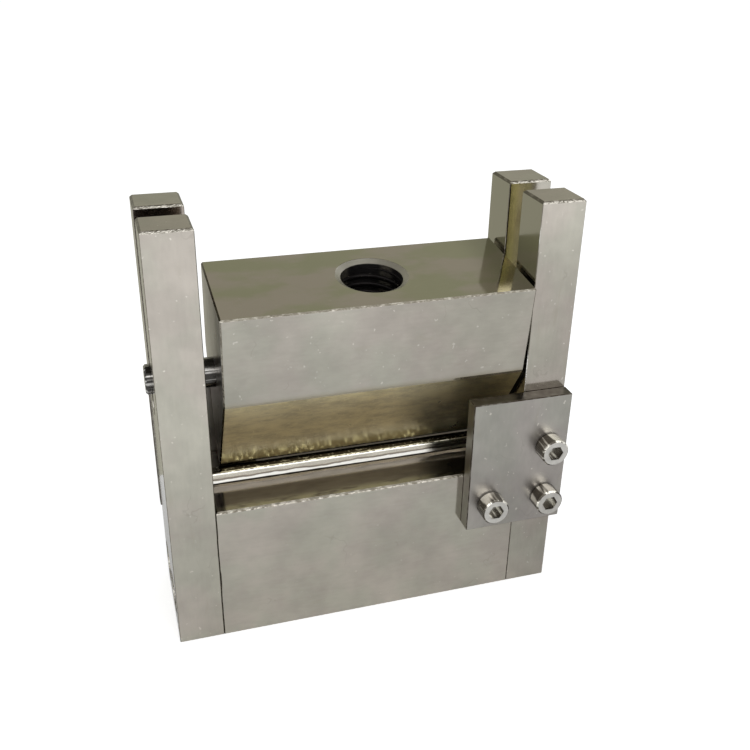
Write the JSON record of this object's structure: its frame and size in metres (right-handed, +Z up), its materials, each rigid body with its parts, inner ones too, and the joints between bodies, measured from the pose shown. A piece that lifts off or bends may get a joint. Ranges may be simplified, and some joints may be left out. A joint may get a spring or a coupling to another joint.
{
  "type": "splitting tensile test fixture",
  "caption": "Steel jig for splitting tensile tests: a wedge block swings on a rod that rises in two slotted uprights, above a narrow bearing bar on a solid base.",
  "frame": {"origin": "middle of the underside, below the middle of the base block", "axes": "+Z up; +X along the guide rod, towards the end where the front stop plate is; +Y to the back"},
  "size_m": [0.144, 0.063, 0.15],
  "materials": {
    "nickel_plate": "nickel plated, ground flat, satin to bright",
    "ground_steel": "ground and polished",
    "screw_steel": "bright stainless"
  },
  "bodies": {
    "frame": {"base_block": "nickel_plate", "left_upright": "nickel_plate", "right_upright": "nickel_plate", "lower_bearing_bar": "ground_steel", "front_stop_plate": "nickel_plate", "rear_stop_plate": "nickel_plate", "front_plate_screw_high": "screw_steel", "front_plate_screw_low": "screw_steel", "front_plate_screw_base": "screw_steel", "rear_plate_screw_high": "screw_steel", "rear_plate_screw_low": "screw_steel", "rear_plate_screw_base": "screw_steel", "left_side_screw_front": "screw_steel", "left_side_screw_rear": "screw_steel", "right_side_screw_front": "screw_steel", "right_side_screw_rear": "screw_steel"},
    "rod": {"guide_rod": "ground_steel"},
    "block": {"upper_block": "nickel_plate"}
  },
  "joints": [
    {"name": "rod_lift", "type": "slide", "parent": "frame", "child": "rod", "axis": [0, 0, 1], "range_m": [0, 0.05]},
    {"name": "block_swing", "type": "hinge", "parent": "rod", "child": "block", "pos_m": [0, 0, 0.09435], "axis": [1, 0, 0], "range_deg": [-34, 20]}
  ]
}
